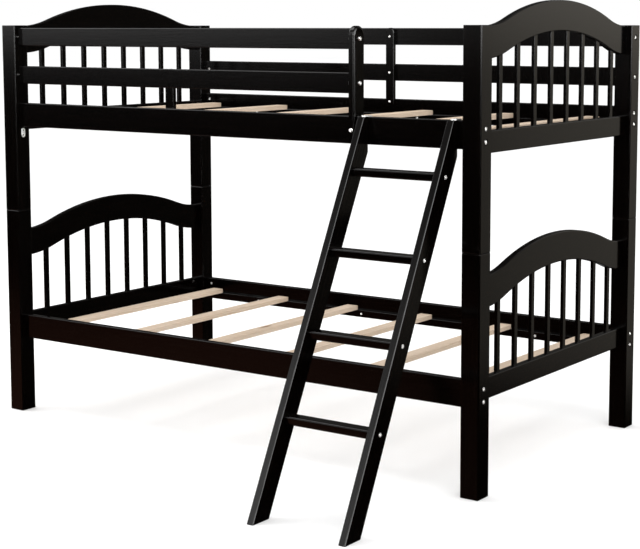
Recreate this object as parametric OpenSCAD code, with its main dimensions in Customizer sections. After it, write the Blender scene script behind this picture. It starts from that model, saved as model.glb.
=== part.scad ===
// Twin-over-twin bunk bed: two slatted bunks stacked on dowel pins, with a ladder that hooks on.
// X runs along the bed, Y from the ladder side to the back, Z up. Sizes are in millimetres.

/* [Bed] */
// Length over the posts
bed_l = 2005; // [1960:5:2100]
// Width over the posts
bed_w = 1092; // [1060:2:1180]
// Side of the square posts
post_w = 64; // [60:1:72]
// Height of the lower posts
lower_h = 745; // [735:5:800]
// Height of the upper posts
upper_h = 672; // [672:2:720]
// Thickness of the rails, guards and arched boards
board_t = 22; // [20:1:24]

/* [Side rails and deck] */
// Height of a side rail
rail_h = 86; // [80:1:100]
// Lower side rail above the floor
rail_z_lower = 273; // [240:1:300]
// Upper side rail above the foot of the upper posts
rail_z_upper = 306; // [290:1:320]
// Width of a deck slat
slat_w = 50; // [45:1:70]
// Thickness of a deck slat
slat_t = 17; // [15:1:20]
// Top of the slats below the top of the side rail
slat_drop = 37; // [30:1:45]

/* [Guards] */
// Height of a guard board
guard_h = 64; // [50:1:70]
// Lower guard board above the foot of the upper posts
guard_z_mid = 461.5; // [455:0.5:470]
// Top guard board above the foot of the upper posts
guard_z_top = 598; // [590:0.5:606]
// Left face of the upright that ends the front guard
end_x = 1527.5; // [1500:0.5:1540]

/* [Head and foot panels] */
// Height of a panel's bottom rail
panel_h = 68; // [60:1:76]
// Panel's bottom rail above the foot of its posts
panel_z = 292.5; // [285:0.5:300]
// Crown of the arch above the foot of its posts
arch_z = 752; // [745:1:760]
// Fall of the arch from its crown to the posts
arch_fall = 82; // [70:1:90]
// Height of the arched board
arch_h = 98; // [88:1:104]
// Spindles in each panel
spindles = 8; // [6:1:9]

/* [Ladder] */
// Left face of the ladder
ladder_x = 1569; // [1565:0.5:1575]
// Width over the stiles
ladder_w = 344; // [320:1:350]
// Lean of the ladder from the vertical
lean = 26.2; // [24:0.1:28]
// Thickness of a stile
stile_t = 23.5; // [20:0.5:26]
// Depth of a stile, square to its length
stile_d = 69; // [60:1:72]
// Lowest rung's centre above the floor
rung_z = 274.5; // [265:0.5:285]
// Rise from one rung to the next
rung_rise = 232.5; // [225:0.5:236]

/* [Hidden] */
$fn = 48;
gap = 0.3;
arris = 3;
post_c = post_w / 2;
board_in = post_c + board_t / 2;
board_out = post_c - board_t / 2;
rail_top_lower = rail_z_lower + rail_h;
rail_top_upper = rail_z_upper + rail_h;
tenon = 20;
tenon_t = 12;
// Deck
slat_end = board_in + 18;
slat_pitch = 343;
ledger_w = 20;
ledger_h = 28;
ledger_end = post_w + 12;
ledger_screw_pitch = 256.5;
// Spindles
spindle_w = 20;
spindle_t = 11;
spindle_in = 14;
spindle_gap = (bed_w - 2 * post_w - spindles * spindle_w) / (spindles + 1);
// Arch
half_span = bed_w / 2 - post_w;
arch_a = 2 * atan(arch_fall / half_span);
arch_sum = half_span / sin(arch_a);
arch_r = 0.727 * arch_sum;
arch_fillet = arch_sum - arch_r;
arch_turn = arch_r * sin(arch_a);
arch_end = arch_z - arch_fall;
arch_steps = 36;
// Bolts, barrel nuts and screws
bolt_d = 6;
bolt_head_d = 12.5;
bolt_head_h = 6;
bolt_sink = 7;
sink_d = 18;
rail_bolt_l = 98;
guard_bolt_l = 64;
bolt_pair = 39;
nut_d = 10;
nut_l = 18;
nut_set = 28.5;
screw_d = 4;
screw_head_d = 8.5;
screw_head_h = 2.4;
// Dowel pins between the lower and the upper posts
pin_d = 10;
pin_up = 40;
pin_down = 45;
pin_fit = 0.05;
// End upright of the front guard
end_t = 26;
end_d = 57;
end_y = post_c - end_d / 2;
end_arris = 8;
end_lap = 1055 - lower_h;
end_top = 1415 - lower_h;
end_r = end_d / 2;
// Stiffeners behind the guards
stiff_w = 36;
stiff_t = 16;
stiff_x_front = 763;
stiff_low = 1118 - lower_h;
// Two-hole plate under the upper rail
plate_w = 17;
plate_h = 34;
plate_t = 2.5;
plate_z = 1028.5 - lower_h;
// Ladder
ladder_top = lower_h + rail_top_upper;
stile_cut = board_out - gap;
stile_run = stile_d / cos(lean);
foot_y = stile_cut - 22 - ladder_top * tan(lean);
rung_n = 4;
rung_w = 44;
rung_h = 25;
rung_in = 8;
hook_t = 3;
hook_w = stile_t - 3;
hook_low = 46;
hook_in = 25;
y_mid = (bed_w + foot_y) / 2;

// Shared heights, from the foot of each bunk's own posts
rail_bolts_lower = pair_z(rail_z_lower + rail_h / 2);
rail_bolts_upper = pair_z(rail_z_upper + rail_h / 2);
guard_bolts = [guard_z_mid + guard_h / 2, guard_z_top + guard_h / 2];
ledger_screws = [for (k = [-2.5:1:2.5]) bed_l / 2 + k * ledger_screw_pitch];

function pair_z(z) = [z - bolt_pair / 2, z + bolt_pair / 2];
function spindle_y(i) = post_w + spindle_gap * (i + 1) + spindle_w * (i + 0.5);
function arc_fall(y) = abs(y) < arch_turn
    ? arch_r - sqrt(arch_r * arch_r - y * y)
    : arch_fall - arch_fillet + sqrt(arch_fillet * arch_fillet - pow(half_span - abs(y), 2));
function slat_x(i) = bed_l / 2 + (i - 2.5) * slat_pitch;
function rung_y(i) = foot_y + rung_at(i) * tan(lean) + stile_run / 2;
function rung_at(i) = rung_z + i * rung_rise;

module place() {
    translate([-bed_l / 2, -y_mid, 0]) children();
}

module raised() {
    place() translate([0, 0, lower_h]) children();
}

// Takes what is drawn for the front left corner to any of the four corners.
module corner(right, rear) {
    translate([right ? bed_l : 0, rear ? bed_w : 0, 0])
        if (right && rear) rotate([0, 0, 180]) children();
        else if (right) mirror([1, 0, 0]) children();
        else if (rear) mirror([0, 1, 0]) children();
        else children();
}

module each_corner() {
    for (right = [false, true], rear = [false, true]) corner(right, rear) children();
}

module rrect(a, b, r) {
    square([a - 2 * r, b], center = true);
    square([a, b - 2 * r], center = true);
    for (u = [-1, 1], v = [-1, 1]) translate([u * (a / 2 - r), v * (b / 2 - r)]) circle(r);
}

// A board along X: y is its middle, z its lower edge.
module board_x(x0, x1, y, z, t, h, r = arris) {
    translate([x0, y, z + h / 2]) rotate([90, 0, 90]) linear_extrude(x1 - x0) rrect(t, h, r);
}

// A board along Y: x is its middle, z its lower edge.
module board_y(y0, y1, x, z, t, h, r = arris) {
    translate([x, y1, z + h / 2]) rotate([90, 0, 0]) linear_extrude(y1 - y0) rrect(t, h, r);
}

module rod_x(d, l) {
    rotate([0, 90, 0]) cylinder(d = d, h = l);
}

module rod_y(d, l) {
    rotate([-90, 0, 0]) cylinder(d = d, h = l);
}

// ---- fasteners ----

// A socket-head bolt along X with the underside of its head at 0.
module bolt(l, head_d = bolt_head_d, head_h = bolt_head_h) {
    difference() {
        union() {
            translate([-head_h, 0, 0]) rod_x(head_d, head_h);
            rod_x(bolt_d, l);
        }
        translate([-head_h - 1, 0, 0]) rotate([0, 90, 0]) cylinder(d = 5.8, h = 4.5, $fn = 6);
    }
}

// A barrel nut along Y with its slotted end at 0 and the rest at -Y, crossed by its bolt.
module barrel_nut() {
    difference() {
        translate([0, -nut_l, 0]) rod_y(nut_d, nut_l);
        translate([-nut_d, board_t / -2 + 0.5, 0]) rod_x(bolt_d, 2 * nut_d);
        translate([-nut_d, -1.5, -0.6]) cube([2 * nut_d, 3, 1.2]);
    }
}

// A pan-head screw along +Y with the underside of its head at 0.
module screw(l) {
    difference() {
        union() {
            translate([0, -screw_head_h, 0]) rod_y(screw_head_d, screw_head_h);
            rod_y(screw_d, l);
        }
        for (a = [0, 90]) rotate([0, a, 0])
            translate([-2.2, -screw_head_h - 1, -0.5]) cube([4.4, 2.4, 1]);
    }
}

// Bolt holes through a post for the side rail and guard ends.
module post_bores(zs) {
    for (z = zs) translate([-1, post_c, z]) {
        rod_x(sink_d, bolt_sink + 1);
        rod_x(bolt_d + 0.6, post_w + 2);
    }
}

// Bolt and barrel nut holes in the end of a board that starts at x = 0.
module end_bores(zs) {
    for (z = zs) {
        translate([-1, post_c, z]) rod_x(bolt_d + 0.6, nut_set + 14);
        translate([nut_set, board_in - nut_l - 0.5, z]) rod_y(nut_d, nut_l + 1);
    }
}

module end_nuts(zs) {
    for (z = zs) translate([nut_set, board_in - 0.5, z]) barrel_nut();
}

module post_bolts(zs, l) {
    for (z = zs) translate([bolt_sink, post_c, z]) bolt(l);
}

// ---- posts ----

module end_bevel(z) {
    for (a = [0:90:270]) translate([post_c, post_c, z]) rotate([0, 0, a])
        translate([post_c, 0, 0]) rotate([0, 45, 0]) cube([2.6, post_w + 4, 2.6], center = true);
}

// The front left post of a bunk, with the mortises of its end panel.
module post(h, zs) {
    difference() {
        translate([post_c, post_c, 0]) linear_extrude(h) rrect(post_w, post_w, 4);
        end_bevel(0);
        end_bevel(h);
        translate([post_c - tenon_t / 2, post_w - tenon, panel_z + 8])
            cube([tenon_t, tenon + 1, panel_h - 16]);
        translate([post_c - tenon_t / 2, post_w - tenon, arch_end - arch_h + 8])
            cube([tenon_t, tenon + 1, arch_h - 20]);
        post_bores(zs);
    }
}

module lower_post(right, rear) {
    color("#241f1d") place() corner(right, rear) difference() {
        post(lower_h - gap, rail_bolts_lower);
        translate([post_c, post_c, lower_h - gap - pin_down]) cylinder(d = pin_d, h = pin_down + 1);
    }
}

module upper_post(right, rear, zs) {
    color("#241f1d") raised() corner(right, rear) difference() {
        post(upper_h, zs);
        translate([post_c, post_c, -1]) cylinder(d = pin_d + 2 * pin_fit, h = pin_up + 3);
    }
}

module post_pins() {
    color("silver") place() each_corner() translate([post_c, post_c, lower_h - gap - pin_down])
        cylinder(d = pin_d, h = pin_down + pin_up);
}

// ---- head and foot panels ----

// The arch's curve seen along X, lowered by drop: a crown with a fillet into each post.
function arch_curve(drop) = [
    for (i = [-arch_steps:arch_steps])
        let(y = half_span * i / arch_steps) [y, arch_z - arc_fall(y) - drop]
];

function backwards(list) = [for (i = [len(list) - 1:-1:0]) list[i]];

module arch_board() {
    translate([post_c - board_t / 2, bed_w / 2, 0]) rotate([90, 0, 90]) linear_extrude(board_t)
        polygon(concat(arch_curve(0), backwards(arch_curve(arch_h))));
    for (s = [-1, 1])
        translate([post_c, bed_w / 2 + s * (half_span + tenon / 2 - 1), arch_end - arch_h / 2 - 2])
            cube([tenon_t, tenon + 2, arch_h - 20], center = true);
}

// The left panel's spindles, let into the rail below and the arch above.
module spindle_row() {
    for (i = [0:spindles - 1]) {
        y = spindle_y(i);
        top = arch_z - arch_h - arc_fall(y - bed_w / 2) + spindle_in;
        base = panel_z + panel_h - spindle_in;
        translate([post_c, y, base]) linear_extrude(top - base) rrect(spindle_t, spindle_w, 1.5);
    }
}

module arch() {
    difference() {
        arch_board();
        spindle_row();
    }
}

module panel_rail() {
    difference() {
        union() {
            board_y(post_w, bed_w - post_w, post_c, panel_z, board_t, panel_h);
            for (y = [post_w - tenon, bed_w - post_w - 1])
                translate([post_c - tenon_t / 2, y, panel_z + 8]) cube([tenon_t, tenon + 1, panel_h - 16]);
        }
        spindle_row();
    }
}

// Mirrors the left panel's parts to the right end.
module panel_end(right) {
    corner(right, false) children();
}

// ---- side rails, ledgers and slats ----

// The front side rail of a bunk: z is its lower edge.
module side_rail(z, zs) {
    difference() {
        board_x(post_w, bed_l - post_w, post_c, z, board_t, rail_h);
        for (right = [false, true]) corner(right, false) translate([post_w, 0, 0]) end_bores(zs);
        for (x = ledger_screws) translate([x, board_in - 15, ledger_z(z) + ledger_h / 2])
            rod_y(screw_d, 16);
    }
}

function ledger_z(z) = z + rail_h - slat_drop - slat_t - ledger_h;

module ledger(z) {
    difference() {
        board_x(ledger_end, bed_l - ledger_end, board_in + ledger_w / 2, ledger_z(z), ledger_w, ledger_h, 2);
        for (x = ledger_screws) translate([x, board_in - 1, ledger_z(z) + ledger_h / 2])
            rod_y(screw_d, ledger_w + 2);
    }
}

module ledger_pair(z) {
    for (rear = [false, true]) corner(false, rear) ledger(z);
}

module ledger_screw_pair(z) {
    for (rear = [false, true], x = ledger_screws)
        corner(false, rear) translate([x, board_in + ledger_w, ledger_z(z) + ledger_h / 2])
            rotate([0, 0, 180]) screw(ledger_w + 15);
}

module slat(i, z) {
    board_y(slat_end, bed_w - slat_end, slat_x(i), z + rail_h - slat_drop - slat_t, slat_w, slat_t, 1.5);
}

// ---- guards ----

module guard_board(x1, z) {
    board_x(post_w, x1, post_c, z, board_t, guard_h);
}

module guard_front(z) {
    difference() {
        guard_board(end_x, z);
        translate([post_w, 0, 0]) end_bores([z + guard_h / 2]);
        translate([end_x, 0, 0]) mirror([1, 0, 0]) end_bores([z + guard_h / 2]);
    }
}

module guard_rear(z) {
    difference() {
        corner(false, true) guard_board(bed_l - post_w, z);
        for (right = [false, true]) corner(right, true) translate([post_w, 0, 0]) end_bores([z + guard_h / 2]);
        stiffener_rear_screws();
    }
}

// Flat bar with a round top behind the guards, from z0 to z1.
module stiffener(z0, z1) {
    translate([0, stiff_t, 0]) rotate([90, 0, 0]) linear_extrude(stiff_t) {
        translate([-stiff_w / 2, z0]) square([stiff_w, z1 - z0 - stiff_w / 2]);
        translate([0, z1 - stiff_w / 2]) circle(stiff_w / 2);
    }
}

module stiffener_screws(x, zs) {
    for (z = zs) translate([x, board_in + stiff_t, z]) rotate([0, 0, 180]) screw(stiff_t + 14);
}

module stiffener_front_screws() {
    stiffener_screws(stiff_x_front, [rail_top_upper - 9, guard_bolts[0]]);
}

module stiffener_rear_screws() {
    corner(false, true) stiffener_screws(bed_l / 2, [rail_top_upper - 9, guard_bolts[0], guard_bolts[1]]);
}

// The upright: a bar with well rounded edges and a half-round top, lapped over the side rail.
module end_bar() {
    difference() {
        translate([end_x + end_t / 2, post_c, 0]) {
            translate([0, 0, end_lap]) linear_extrude(end_top - end_r - end_lap) rrect(end_t, end_d, end_arris);
            translate([0, 0, end_top - end_r]) rotate([0, 90, 0]) rotate_extrude() intersection() {
                rrect(end_d, end_t, end_arris);
                translate([0, -end_t]) square([end_d, 2 * end_t]);
            }
        }
        translate([end_x - 1, board_out, end_lap - 1])
            cube([end_t + 2, end_d, rail_top_upper - end_lap + 1]);
    }
}

module end_bolt_holes() {
    for (z = guard_bolts) translate([end_x - 1, post_c, z]) rod_x(bolt_d + 0.6, end_t + 2);
    lap_bolt_hole();
}

module lap_bolt_hole() {
    translate([end_x + end_t / 2, -1, rail_z_upper + rail_h / 2]) rod_y(bolt_d, board_out + 18);
}

// ---- ladder ----

// The ladder's stile as one long board, before its ends are cut.
module stile_blank() {
    translate([0, foot_y, 0]) rotate([-lean, 0, 0]) translate([stile_t / 2, stile_d / 2, -60])
        linear_extrude(1500) rrect(stile_t, stile_d, arris);
}

module stile() {
    difference() {
        intersection() {
            stile_blank();
            translate([-1, foot_y - 20, 0]) cube([stile_t + 2, stile_cut - foot_y + 20, ladder_top]);
        }
        translate([1.5, stile_cut - hook_t, ladder_top - hook_low]) cube([hook_w, hook_t + 1, hook_low + 1]);
        for (i = [0:rung_n - 1]) {
            translate([stile_t - rung_in, rung_y(i), rung_at(i)]) rung_tenon(rung_in + 1);
            translate([-1, rung_y(i), rung_at(i)]) {
                rod_x(sink_d - 3, 4);
                rod_x(bolt_d + 0.6, stile_t);
            }
        }
    }
}

module rung_tenon(l) {
    translate([0, -rung_w / 2 + 6, -rung_h / 2 + 5]) cube([l, rung_w - 12, rung_h - 10]);
}

module rung(i) {
    inner = ladder_w - 2 * stile_t;
    difference() {
        translate([ladder_x + stile_t, rung_y(i), rung_at(i)]) {
            rotate([90, 0, 90]) linear_extrude(inner) rrect(rung_w, rung_h, 5);
            for (x = [-rung_in, inner - 1]) translate([x, 0, 0]) rung_tenon(rung_in + 1);
        }
        rung_bolts(i);
    }
}

module rung_bolts(i) {
    translate([ladder_x + 3, rung_y(i), rung_at(i)]) bolt(60, 12.5, 3);
    translate([ladder_x + ladder_w - 3, rung_y(i), rung_at(i)]) mirror([1, 0, 0]) bolt(60, 12.5, 3);
}

// A strap from the back of the stile, over the side rail and down behind it.
module hook() {
    top = ladder_top + gap + hook_t;
    translate([1.5, stile_cut - hook_t, ladder_top - hook_low]) cube([hook_w, hook_t, top - ladder_top + hook_low]);
    translate([1.5, stile_cut - hook_t, top - hook_t])
        cube([hook_w, board_in + gap + hook_t - stile_cut + hook_t, hook_t]);
    translate([1.5, board_in + gap, top - hook_t - hook_in]) cube([hook_w, hook_t, hook_in + hook_t]);
}

// ---- nodes of the lower bunk ----

module lower_arch(right) {
    color("#241f1d") place() panel_end(right) arch();
}

module lower_panel_rail(right) {
    color("#241f1d") place() panel_end(right) panel_rail();
}

module lower_spindles() {
    color("#302a28") place() for (right = [false, true]) panel_end(right) spindle_row();
}

module lower_side_rail(rear) {
    color("#241f1d") place() corner(false, rear) side_rail(rail_z_lower, rail_bolts_lower);
}

module lower_ledgers() {
    color("#302a28") place() ledger_pair(rail_z_lower);
}

module lower_slat(i) {
    color("#d9bf9c") place() slat(i - 1, rail_z_lower);
}

module lower_bolts() {
    color("silver") place() each_corner() post_bolts(rail_bolts_lower, rail_bolt_l);
}

module lower_barrel_nuts() {
    color("silver") place() each_corner() translate([post_w, 0, 0]) end_nuts(rail_bolts_lower);
}

module lower_screws() {
    color("silver") place() ledger_screw_pair(rail_z_lower);
}

// ---- nodes of the upper bunk ----

module upper_arch(right) {
    color("#241f1d") raised() panel_end(right) arch();
}

module upper_panel_rail(right) {
    color("#241f1d") raised() panel_end(right) panel_rail();
}

module upper_spindles() {
    color("#302a28") raised() for (right = [false, true]) panel_end(right) spindle_row();
}

module upper_side_rail_front() {
    color("#241f1d") raised() difference() {
        side_rail(rail_z_upper, rail_bolts_upper);
        lap_bolt_hole();
        stiffener_front_screws();
    }
}

module upper_side_rail_rear() {
    color("#241f1d") raised() difference() {
        corner(false, true) side_rail(rail_z_upper, rail_bolts_upper);
        stiffener_rear_screws();
    }
}

module upper_ledgers() {
    color("#302a28") raised() ledger_pair(rail_z_upper);
}

module upper_slat(i) {
    color("#d9bf9c") raised() slat(i - 1, rail_z_upper);
}

module guard_front_top() {
    color("#241f1d") raised() guard_front(guard_z_top);
}

module guard_front_mid() {
    color("#241f1d") raised() difference() {
        guard_front(guard_z_mid);
        stiffener_front_screws();
    }
}

module guard_front_stiffener() {
    color("#302a28") raised() difference() {
        translate([stiff_x_front, board_in, 0]) stiffener(stiff_low, guard_z_mid + guard_h);
        stiffener_front_screws();
    }
}

module guard_end_upright() {
    color("#302a28") raised() difference() {
        end_bar();
        end_bolt_holes();
    }
}

module guard_rear_top() {
    color("#241f1d") raised() guard_rear(guard_z_top);
}

module guard_rear_mid() {
    color("#241f1d") raised() guard_rear(guard_z_mid);
}

module guard_rear_stiffener() {
    color("#302a28") raised() difference() {
        translate([bed_l / 2, bed_w - board_in - stiff_t, 0]) stiffener(stiff_low, guard_z_top + guard_h + 1);
        stiffener_rear_screws();
    }
}

module upper_bolts() {
    color("silver") raised() {
        each_corner() post_bolts(rail_bolts_upper, rail_bolt_l);
        for (c = [[false, false], [false, true], [true, true]])
            corner(c[0], c[1]) post_bolts(guard_bolts, rail_bolt_l);
        for (z = guard_bolts) translate([end_x + end_t, post_c, z]) mirror([1, 0, 0]) bolt(guard_bolt_l, 12, 4);
        translate([end_x + end_t / 2, end_y - 1.5, rail_z_upper + rail_h / 2]) {
            rotate([0, 0, 90]) bolt(board_out + 18 - end_y, 9.5, 4);
            difference() {
                rod_y(13, 1.5);
                translate([0, -1, 0]) rod_y(bolt_d, 4);
            }
        }
    }
}

module upper_barrel_nuts() {
    color("silver") raised() {
        each_corner() translate([post_w, 0, 0]) end_nuts(rail_bolts_upper);
        for (c = [[false, false], [false, true], [true, true]])
            corner(c[0], c[1]) translate([post_w, 0, 0]) end_nuts(guard_bolts);
        translate([end_x, 0, 0]) mirror([1, 0, 0]) end_nuts(guard_bolts);
    }
}

module upper_screws() {
    color("silver") raised() {
        ledger_screw_pair(rail_z_upper);
        stiffener_front_screws();
        stiffener_rear_screws();
    }
}

module post_plate() {
    color("silver") raised() translate([post_w, post_c, plate_z]) rotate([90, 0, 90]) linear_extrude(plate_t)
        difference() {
            union() {
                square([plate_w, plate_h - plate_w], center = true);
                for (s = [-1, 1]) translate([0, s * (plate_h - plate_w) / 2]) circle(plate_w / 2);
            }
            for (s = [-1, 1]) translate([0, s * (plate_h - plate_w) / 2]) circle(2.6);
        }
}

// ---- nodes of the ladder ----

module ladder_stile_left() {
    color("#2b2523") place() translate([ladder_x, 0, 0]) stile();
}

module ladder_stile_right() {
    color("#2b2523") place() translate([ladder_x + ladder_w, 0, 0]) mirror([1, 0, 0]) stile();
}

module ladder_rung(i) {
    color("#2b2523") place() rung(i - 1);
}

module ladder_hooks() {
    color("silver") place() for (x = [ladder_x, ladder_x + ladder_w - stile_t]) translate([x, 0, 0]) hook();
}

module ladder_bolts() {
    color("silver") place() for (i = [0:rung_n - 1]) rung_bolts(i);
}

lower_post(false, false);  // lower_post_front_left
lower_post(true, false);  // lower_post_front_right
lower_post(false, true);  // lower_post_rear_left
lower_post(true, true);  // lower_post_rear_right
lower_arch(false);  // lower_arch_left
lower_arch(true);  // lower_arch_right
lower_panel_rail(false);  // lower_panel_rail_left
lower_panel_rail(true);  // lower_panel_rail_right
lower_spindles();
lower_side_rail(false);  // lower_side_rail_front
lower_side_rail(true);  // lower_side_rail_rear
lower_ledgers();
lower_slat(1);  // lower_slat_1
lower_slat(2);  // lower_slat_2
lower_slat(3);  // lower_slat_3
lower_slat(4);  // lower_slat_4
lower_slat(5);  // lower_slat_5
lower_slat(6);  // lower_slat_6
lower_bolts();
lower_barrel_nuts();
lower_screws();
post_pins();
upper_post(false, false, concat(rail_bolts_upper, guard_bolts));  // upper_post_front_left
upper_post(true, false, rail_bolts_upper);  // upper_post_front_right
upper_post(false, true, concat(rail_bolts_upper, guard_bolts));  // upper_post_rear_left
upper_post(true, true, concat(rail_bolts_upper, guard_bolts));  // upper_post_rear_right
upper_arch(false);  // upper_arch_left
upper_arch(true);  // upper_arch_right
upper_panel_rail(false);  // upper_panel_rail_left
upper_panel_rail(true);  // upper_panel_rail_right
upper_spindles();
upper_side_rail_front();
upper_side_rail_rear();
upper_ledgers();
upper_slat(1);  // upper_slat_1
upper_slat(2);  // upper_slat_2
upper_slat(3);  // upper_slat_3
upper_slat(4);  // upper_slat_4
upper_slat(5);  // upper_slat_5
upper_slat(6);  // upper_slat_6
guard_front_top();
guard_front_mid();
guard_front_stiffener();
guard_end_upright();
guard_rear_top();
guard_rear_mid();
guard_rear_stiffener();
upper_bolts();
upper_barrel_nuts();
upper_screws();
post_plate();
ladder_stile_left();
ladder_stile_right();
ladder_rung(1);  // ladder_rung_1
ladder_rung(2);  // ladder_rung_2
ladder_rung(3);  // ladder_rung_3
ladder_rung(4);  // ladder_rung_4
ladder_hooks();
ladder_bolts();
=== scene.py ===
"""Looks for the bunk bed: lacquered and bare wood, steel, softened edges, studio and camera."""
import math
import random

import bpy
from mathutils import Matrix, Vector


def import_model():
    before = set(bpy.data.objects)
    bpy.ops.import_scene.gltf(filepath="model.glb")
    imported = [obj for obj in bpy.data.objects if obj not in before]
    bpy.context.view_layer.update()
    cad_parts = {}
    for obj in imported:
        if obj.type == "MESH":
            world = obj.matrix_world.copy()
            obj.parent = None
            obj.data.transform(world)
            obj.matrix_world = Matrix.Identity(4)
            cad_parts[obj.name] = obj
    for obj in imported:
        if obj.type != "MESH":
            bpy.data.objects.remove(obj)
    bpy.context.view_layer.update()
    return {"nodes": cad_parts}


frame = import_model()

NODES = frame["nodes"]
MM = 0.001

# ---- camera ----
CAMERA_AT = (3.2673, -4.1745, 1.4113)
CAMERA_TURN = math.radians(34.564)      # to the left of straight along +Y
CAMERA_DIP = math.radians(6.181)        # below the horizon
CAMERA_LENS = 87.06                     # mm
CAMERA_REACH = 200                      # metres to the far clip, past the floor's edge
CAMERA_SHIFT = (-0.0625, -0.125)        # keeps the posts nearly upright in the picture

# ---- wood ----
LEAN = math.radians(26.2)               # of the ladder's stiles from the vertical
GRAIN_TURN = {                          # turns a piece's length on to X
    "x": (0.0, 0.0, 0.0),
    "y": (0.0, 0.0, math.radians(-90)),
    "z": (0.0, math.radians(90), 0.0),
    "lean": (LEAN, math.radians(90), 0.0),
}
GRAIN_SEED = 11
BRUSHED = {"x": 1.0, "y": 1.0, "z": 1.0, "lean": 7.0}    # depth of the brush marks along the grain


def input_of(node, name):
    """A node's input by its number, as in i0, or by its name with _ for a space."""
    if name[0] == "i" and name[1:].isdigit():
        return node.inputs[int(name[1:])]
    return node.inputs[name.replace("_", " ")]


def add(tree, kind, settings=None, **inputs):
    """A shader node; each input is a value or the output that feeds it."""
    node = tree.nodes.new("ShaderNode" + kind)
    for name, value in (settings or {}).items():
        setattr(node, name, value)
    for name, value in inputs.items():
        socket = input_of(node, name)
        if isinstance(value, bpy.types.NodeSocket):
            tree.links.new(value, socket)
        else:
            socket.default_value = value
    return node


def math_node(tree, operation, a, b=0.0):
    return add(tree, "Math", {"operation": operation}, i0=a, i1=b).outputs[0]


def ramp(tree, value, *stops):
    """A colour ramp; each stop is (position, (r, g, b)) or (position, grey), in order."""
    node = add(tree, "ValToRGB", Fac=value)
    elements = node.color_ramp.elements
    elements[0].position, elements[1].position = stops[0][0], stops[-1][0]
    for position, _ in stops[1:-1]:
        elements.new(position)
    for element, (_, colour) in zip(elements, stops):
        rgb = colour if isinstance(colour, tuple) else (colour,) * 3
        element.color = (*rgb, 1.0)
    return node.outputs["Color"]


def mix(tree, share, a, b, blend="MIX"):
    """The colour a with a share of b blended in."""
    node = add(tree, "Mix", {"data_type": "RGBA", "blend_type": blend}, i0=share)
    for socket, value in ((node.inputs[6], a), (node.inputs[7], b)):
        if isinstance(value, bpy.types.NodeSocket):
            tree.links.new(value, socket)
        else:
            socket.default_value = (*value, 1.0)
    return node.outputs[2]


def material(name, **shader):
    """A material with only a principled shader, as (material, node tree, shader)."""
    made = bpy.data.materials.new(name)
    made.use_nodes = True
    tree = made.node_tree
    tree.nodes.clear()
    out = add(tree, "OutputMaterial")
    bsdf = add(tree, "BsdfPrincipled", **shader)
    tree.links.new(bsdf.outputs[0], out.inputs["Surface"])
    return made, tree, bsdf


def grain_space(tree, grain):
    """Coordinates in metres with X along the grain, moved by each piece's own grain_at."""
    place = add(tree, "TexCoord").outputs["Object"]
    own = add(tree, "Attribute", {"attribute_type": "OBJECT", "attribute_name": "grain_at"})
    turned = add(tree, "Mapping", Vector=place, Rotation=GRAIN_TURN[grain]).outputs[0]
    return add(tree, "VectorMath", {"operation": "ADD"}, i0=turned, i1=own.outputs["Vector"]).outputs[0]


def stretched(tree, space, along, across):
    """Noise with features of about these sizes, in metres, along and across the grain."""
    scaled = add(tree, "Mapping", Vector=space, Scale=(1 / along, 1 / across, 1 / across)).outputs[0]
    return add(tree, "TexNoise", Vector=scaled, Scale=1.0, Detail=3.0, Roughness=0.55).outputs["Fac"]


def growth_rings(tree, space, spacing, wander):
    """0 to 1 through each growth ring round a pith that lies outside the board and wanders."""
    bend = stretched(tree, space, 0.7, 0.09)
    parts = add(tree, "SeparateXYZ", Vector=space).outputs
    y = math_node(tree, "MULTIPLY", bend, wander)
    y = math_node(tree, "ADD", y, parts["Y"])
    squares = math_node(tree, "ADD", math_node(tree, "MULTIPLY", y, y),
                        math_node(tree, "MULTIPLY", parts["Z"], parts["Z"]))
    radius = math_node(tree, "SQRT", squares)
    return math_node(tree, "FRACT", math_node(tree, "DIVIDE", radius, spacing))


def arris_mask(tree, radius):
    """0 on flat faces and up to 1 on arrises."""
    rounded = add(tree, "Bevel", {"samples": 4}, Radius=radius).outputs[0]
    flat = add(tree, "NewGeometry").outputs["Normal"]
    same = add(tree, "VectorMath", {"operation": "DOT_PRODUCT"}, i0=rounded, i1=flat).outputs["Value"]
    return add(tree, "MapRange", Value=same, From_Min=0.99, From_Max=0.86).outputs[0]


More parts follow.
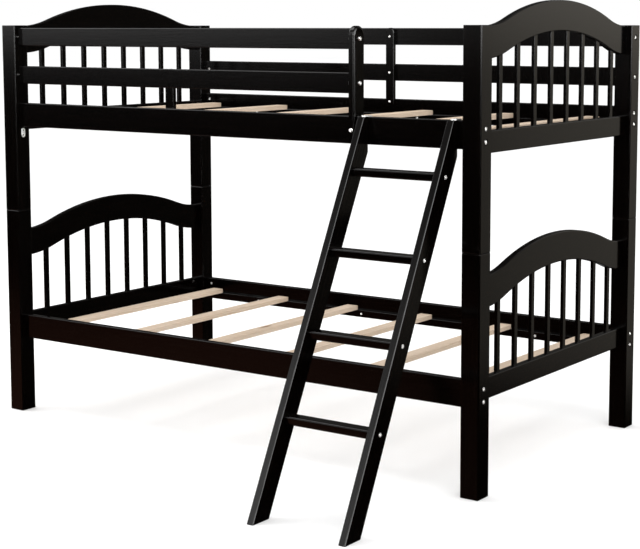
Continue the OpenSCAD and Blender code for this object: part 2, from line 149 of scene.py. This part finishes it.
def lacquered_wood(grain):
    """Espresso stain under a satin clear coat; the grain and pores show faintly through it."""
    made, tree, bsdf = material(
        "espresso_" + grain, Specular_IOR_Level=0.0, Coat_Weight=1.0, Coat_Roughness=0.12, Coat_IOR=1.33)
    space = grain_space(tree, grain)
    rings = growth_rings(tree, space, 0.0055, 0.03)
    pores = stretched(tree, space, 0.018, 0.0006)
    streaks = stretched(tree, space, 0.16, 0.0032)
    clouds = stretched(tree, space, 0.35, 0.05)
    stain = ramp(tree, rings, (0.0, (0.0008, 0.0003, 0.0002)), (0.72, (0.0005, 0.0002, 0.0001)),
                 (0.95, (0.0004, 0.0002, 0.0001)), (1.0, (0.0008, 0.0003, 0.0002)))
    stain = mix(tree, ramp(tree, streaks, (0.50, 0.0), (0.66, 1.0)), stain, (0.0020, 0.0012, 0.0009))
    stain = mix(tree, ramp(tree, pores, (0.36, 1.0), (0.46, 0.0)), stain, (0.0003, 0.0002, 0.0001))
    stain = mix(tree, ramp(tree, clouds, (0.35, 0.0), (0.7, 0.35)), stain, (0.0011, 0.0005, 0.0003))
    # Lighter brown on the arrises, in patches from the clouds noise: partly rubbed wear, partly a painted
    # highlight along the edges.
    edge = arris_mask(tree, 1.6 * MM)
    rubbed_and_highlit = math_node(tree, "MULTIPLY", edge, ramp(tree, clouds, (0.42, 0.1), (0.62, 0.55)))
    stain = mix(tree, rubbed_and_highlit, stain, (0.022, 0.013, 0.009))
    tree.links.new(stain, bsdf.inputs["Base Color"])
    handled = add(tree, "TexNoise", Vector=space, Scale=9.0, Detail=2.0).outputs["Fac"]
    tree.links.new(ramp(tree, handled, (0.3, 0.26), (0.7, 0.38)), bsdf.inputs["Roughness"])
    relief = math_node(tree, "MULTIPLY", pores, 0.6)
    relief = math_node(tree, "ADD", relief, math_node(tree, "MULTIPLY", streaks, BRUSHED[grain]))
    relief = math_node(tree, "ADD", relief, add(
        tree, "TexNoise", Vector=space, Scale=240.0, Detail=1.0).outputs["Fac"])
    bump = add(tree, "Bump", Strength=0.10, Distance=0.0004, Height=relief).outputs[0]
    tree.links.new(bump, bsdf.inputs["Normal"])
    tree.links.new(bump, bsdf.inputs["Coat Normal"])
    return made


def bare_pine(grain):
    """Planed pale pine: growth rings, fibres, the odd knot and a slightly furry surface."""
    made, tree, bsdf = material("pine_" + grain, IOR=1.45)
    space = grain_space(tree, grain)
    rings = growth_rings(tree, space, 0.0048, 0.035)
    fibres = stretched(tree, space, 0.03, 0.0007)
    clouds = stretched(tree, space, 0.30, 0.03)
    wood = ramp(tree, rings, (0.0, (0.66, 0.53, 0.41)), (0.60, (0.61, 0.475, 0.35)),
                (0.90, (0.48, 0.345, 0.23)), (1.0, (0.66, 0.53, 0.41)))
    wood = mix(tree, ramp(tree, fibres, (0.40, 0.45), (0.60, 0.0)), wood, (0.46, 0.35, 0.25))
    wood = mix(tree, ramp(tree, clouds, (0.35, 0.0), (0.70, 0.40)), wood, (0.72, 0.60, 0.49))
    cells = add(tree, "Mapping", Vector=space, Scale=(3.1, 17.0, 9.0)).outputs[0]
    knots = add(tree, "TexVoronoi", Vector=cells, Scale=1.0, Randomness=1.0)
    chosen = ramp(tree, knots.outputs["Color"], (0.46, 0.0), (0.48, 1.0))
    knot = math_node(tree, "MULTIPLY", chosen,
                     ramp(tree, knots.outputs["Distance"], (0.05, 1.0), (0.14, 0.0)))
    wood = mix(tree, knot, wood, (0.22, 0.11, 0.05))
    edge = arris_mask(tree, 1.2 * MM)
    wood = mix(tree, math_node(tree, "MULTIPLY", edge, 0.35), wood, (0.84, 0.72, 0.55))
    tree.links.new(wood, bsdf.inputs["Base Color"])
    tree.links.new(ramp(tree, fibres, (0.3, 0.66), (0.7, 0.52)), bsdf.inputs["Roughness"])
    relief = math_node(tree, "ADD", fibres, math_node(tree, "MULTIPLY", rings, 0.5))
    bump = add(tree, "Bump", Strength=0.35, Distance=0.0005, Height=relief).outputs[0]
    tree.links.new(bump, bsdf.inputs["Normal"])
    return made


def plated_steel():
    """Bright zinc plate, a little cloudy, rubbed on its edges."""
    made, tree, bsdf = material("zinc_steel", Metallic=1.0)
    place = add(tree, "TexCoord").outputs["Object"]
    clouds = add(tree, "TexNoise", Vector=place, Scale=420.0, Detail=3.0).outputs["Fac"]
    fine = add(tree, "TexNoise", Vector=place, Scale=3200.0, Detail=2.0).outputs["Fac"]
    plate = ramp(tree, clouds, (0.3, (0.82, 0.81, 0.79)), (0.7, (0.95, 0.94, 0.92)))
    edge = arris_mask(tree, 0.5 * MM)
    plate = mix(tree, math_node(tree, "MULTIPLY", edge, 0.6), plate, (0.92, 0.91, 0.90))
    tree.links.new(plate, bsdf.inputs["Base Color"])
    tree.links.new(ramp(tree, clouds, (0.3, 0.40), (0.7, 0.52)), bsdf.inputs["Roughness"])
    bump = add(tree, "Bump", Strength=0.15, Distance=0.0001, Height=fine).outputs[0]
    tree.links.new(bump, bsdf.inputs["Normal"])
    return made


# ---- which node gets which wood, and how far its edges are rounded ----
def grain_of(name):
    if "slat" in name or "arch" in name or "panel_rail" in name:
        return "y"
    if "stile" in name:
        return "lean"
    if "post_" in name or "spindles" in name or "stiffener" in name or "upright" in name:
        return "z"
    return "x"


UNMIRRORED = ("slat", "guard_front", "guard_end")    # kept out of reflections, for looks and not physics
STEEL = ("bolts", "barrel_nuts", "screws", "pins", "plate", "hooks")
# How far a piece's sharp edges are rounded, in mm; the first word found in its name counts
EDGE = {"arch": 3.0, "upright": 1.0, "stiffener": 2.0, "hooks": 0.6, "plate": 0.7, "bolts": 0.5,
        "screws": 0.3, "barrel_nuts": 0.5, "pins": 0.5, "slat": 0.6}
EDGE_ELSE = 0.8
WELD = 0.005 * MM                       # joins vertices closer than this
FLAT = math.radians(0.2)                # faces that turn less than this are one face
SHARP = math.radians(40)                # edges that turn more than this are rounded


def soften(node, width):
    """Welds the node's vertices, rounds its sharp edges and keeps its flat faces shaded flat."""
    weld = node.modifiers.new("weld", "WELD")
    weld.merge_threshold = WELD
    flats = node.modifiers.new("flats", "DECIMATE")
    flats.decimate_type = "DISSOLVE"
    flats.angle_limit = FLAT
    bevel = node.modifiers.new("edges", "BEVEL")
    bevel.width = width * MM
    bevel.segments = 3
    bevel.limit_method = "ANGLE"
    bevel.angle_limit = SHARP
    bevel.use_clamp_overlap = False
    shading = node.modifiers.new("shading", "WEIGHTED_NORMAL")
    shading.mode = "FACE_AREA"
    shading.weight = 100
    shading.keep_sharp = True


def finish_nodes():
    """Gives every CAD node its material, its own place in the grain and its softened edges."""
    woods, steel = {}, plated_steel()
    draw = random.Random(GRAIN_SEED)
    for name, node in sorted(NODES.items()):
        node["grain_at"] = [draw.uniform(-4, 4), draw.uniform(0.02, 0.09), draw.uniform(0.03, 0.12)]
        if name.endswith(STEEL):
            made = steel
        else:
            make = bare_pine if "slat" in name else lacquered_wood
            key = (make, grain_of(name))
            if key not in woods:
                woods[key] = make(grain_of(name))
            made = woods[key]
        for slot in node.material_slots:
            slot.material = made
        width = next((w for word, w in EDGE.items() if word in name), EDGE_ELSE)
        soften(node, width)
        node.visible_glossy = not any(word in name for word in UNMIRRORED)


finish_nodes()


# ---- studio ----
DOME = 1.18                             # strength of the even light on matt surfaces
FLOOR_RADIUS = 60
FLOOR_DROP = 0.0004                     # metres below the feet, so that the faces don't fight
LIT_POINT = (0, 0, 0.5)                 # what the softboxes face
SOFTBOXES = (                           # name, place, width and length in metres, watts
    ("key", (2.5, -1.5, 4.5), (3.0, 3.0), 60),
    ("fill", (-3.1, -0.6, 4.5), (3.0, 3.2), 110),
)


def floor():
    """A pale floor that the lacquer doesn't mirror."""
    made, tree, bsdf = material("pale_floor", Specular_IOR_Level=0.0)
    place = add(tree, "TexCoord").outputs["Object"]
    soft = add(tree, "TexNoise", Vector=place, Scale=0.6, Detail=2.0).outputs["Fac"]
    tree.links.new(ramp(tree, soft, (0.3, 0.93), (0.7, 0.95)), bsdf.inputs["Base Color"])
    bsdf.inputs["Roughness"].default_value = 0.9
    bpy.ops.mesh.primitive_circle_add(
        vertices=96, radius=FLOOR_RADIUS, fill_type="NGON", location=(0, 0, -FLOOR_DROP))
    ground = bpy.context.object
    ground.name = "floor"
    ground.data.materials.append(made)
    ground.visible_glossy = False


def world():
    """White to the camera, an even dome for matt surfaces, and cards and flags that the gloss mirrors."""
    made = bpy.data.worlds.new("studio")
    made.use_nodes = True
    tree = made.node_tree
    tree.nodes.clear()
    way = add(tree, "SeparateXYZ", Vector=add(tree, "TexCoord").outputs["Generated"]).outputs
    height = add(tree, "MapRange", Value=way["Z"], From_Min=-1.0, From_Max=1.0).outputs[0]
    turn = math_node(tree, "ARCTAN2", way["Y"], way["X"])
    turn = add(tree, "MapRange", Value=turn, From_Min=-math.pi, From_Max=math.pi).outputs[0]

    def by_height(*stops):
        """Stops by degrees above the horizon."""
        return ramp(tree, height, *(((math.sin(math.radians(a)) + 1) / 2, colour) for a, colour in stops))

    def by_turn(*stops):
        """Stops by degrees round from +X towards +Y."""
        return ramp(tree, turn, *((a / 360 + 0.5, colour) for a, colour in stops))

    def times(a, b):
        return mix(tree, 1.0, a, b, "MULTIPLY")

    def plus(a, b):
        return mix(tree, 1.0, a, b, "ADD")

    # Warm wall that the +X faces mirror
    wall = by_height((-13.9, 0.0), (-12.1, (0.24, 0.222, 0.190)), (-1.7, (0.42, 0.39, 0.335)),
                     (0.0, (0.72, 0.67, 0.58)), (1.7, (0.98, 0.92, 0.815)), (9, (1.0, 0.975, 0.917)),
                     (30, 0.6))
    wall = times(wall, by_turn((28, 0.0), (41, 0.10), (55, 0.12), (60.5, 1.1), (68.5, 1.1), (79, 0.07),
                               (169, 0.07), (180, 0.0)))
    # Broad card in front of the bed, dark just below the horizon
    front = by_height((-16, (0.30, 0.14, 0.10)), (-11, (0.22, 0.09, 0.06)), (-9, 0.0), (-0.7, 0.0),
                      (0.8, 2.1), (5, 2.0), (15, 1.2), (20, 2.0), (24, 2.2), (28, 1.5), (32, 0.8),
                      (36, 0.35), (45, 0.25))
    front = times(front, by_turn((-180, 0.2), (-160, 1.0), (-142, 0.5), (-138, 1.1), (-127, 1.1), (-121, 0.3),
                                 (-116, 0.2), (-112, 0.0)))
    # Strong lights either side of a dark gap, which draw the double lines on the arrises
    side = by_height((-1.0, 0.0), (0.8, 14.0), (6, 14.0), (10, 9.0), (34, 9.0), (42, 0.2))
    side = times(side, by_turn((-112, 0.0), (-106, 1.0), (-92, 1.0), (-84, 0.1), (-62, 0.1), (-54, 1.0),
                               (20, 1.0), (34, 0.0)))
    cards = plus(plus(wall, front), side)
    cards = plus(cards, by_height((-24, 0.15), (-19, 0.0)))    # faint light from low down
    mirrored = add(tree, "Background", Color=cards, Strength=1.0)
    dome = add(tree, "Background", Color=by_height((-5, 0.45), (15, 1.0)), Strength=DOME)
    seen = add(tree, "Background", Color=(1.0, 1.0, 1.0, 1.0), Strength=1.0)
    ray = add(tree, "LightPath").outputs
    light = add(tree, "MixShader", i0=ray["Is Glossy Ray"], i1=dome.outputs[0], i2=mirrored.outputs[0])
    both = add(tree, "MixShader", i0=ray["Is Camera Ray"], i1=light.outputs[0], i2=seen.outputs[0])
    tree.links.new(both.outputs[0], add(tree, "OutputWorld").inputs["Surface"])
    bpy.context.scene.world = made


def softbox(name, place, size, power):
    """A rectangular lamp, hidden from the camera, that faces the middle of the bed."""
    light = bpy.data.lights.new(name, "AREA")
    light.shape = "RECTANGLE"
    light.size, light.size_y = size
    light.energy = power
    lamp = bpy.data.objects.new(name, light)
    lamp.location = place
    lamp.visible_camera = False
    lamp.rotation_euler = (Vector(LIT_POINT) - Vector(place)).to_track_quat("-Z", "Y").to_euler()
    bpy.context.scene.collection.objects.link(lamp)


def camera():
    """The one camera, about as high as the bed and dipped a little."""
    made = bpy.data.cameras.new("camera")
    made.lens = CAMERA_LENS
    made.shift_x, made.shift_y = CAMERA_SHIFT
    made.clip_end = CAMERA_REACH
    holder = bpy.data.objects.new("camera", made)
    holder.location = CAMERA_AT
    holder.rotation_euler = (math.pi / 2 - CAMERA_DIP, 0, CAMERA_TURN)
    bpy.context.scene.collection.objects.link(holder)
    bpy.context.scene.camera = holder


floor()
world()
for box in SOFTBOXES:
    softbox(*box)
camera()
bpy.context.scene.view_settings.view_transform = "Standard"
